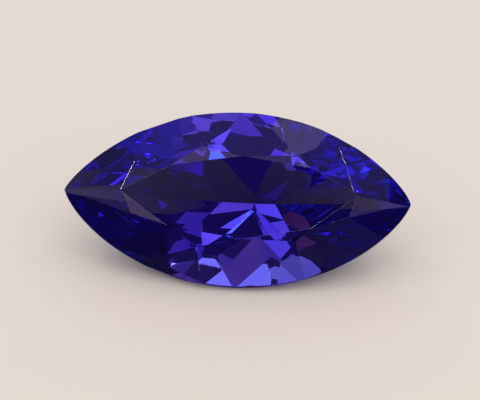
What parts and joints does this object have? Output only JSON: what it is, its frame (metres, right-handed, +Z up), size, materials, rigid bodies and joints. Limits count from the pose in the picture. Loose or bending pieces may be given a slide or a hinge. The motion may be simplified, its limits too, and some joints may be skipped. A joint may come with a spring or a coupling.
{
  "type": "faceted tanzanite gemstone, marquise cut",
  "caption": "Loose violet-blue tanzanite cut as a pointed oval brilliant, with a flat table, faceted crown and pavilion and a thin girdle.",
  "frame": {"origin": "on the ground plane under the middle of the stone's outer box, with the stone lying on its front belly facet", "axes": "+X along the stone from one tip to the other, -Y towards the side that the table leans to, +Z up"},
  "size_m": [0.0176, 0.007, 0.0066],
  "materials": {
    "tanzanite": "polished, clear violet blue"
  },
  "bodies": {
    "root": {"tanzanite": "tanzanite"}
  },
  "joints": []
}
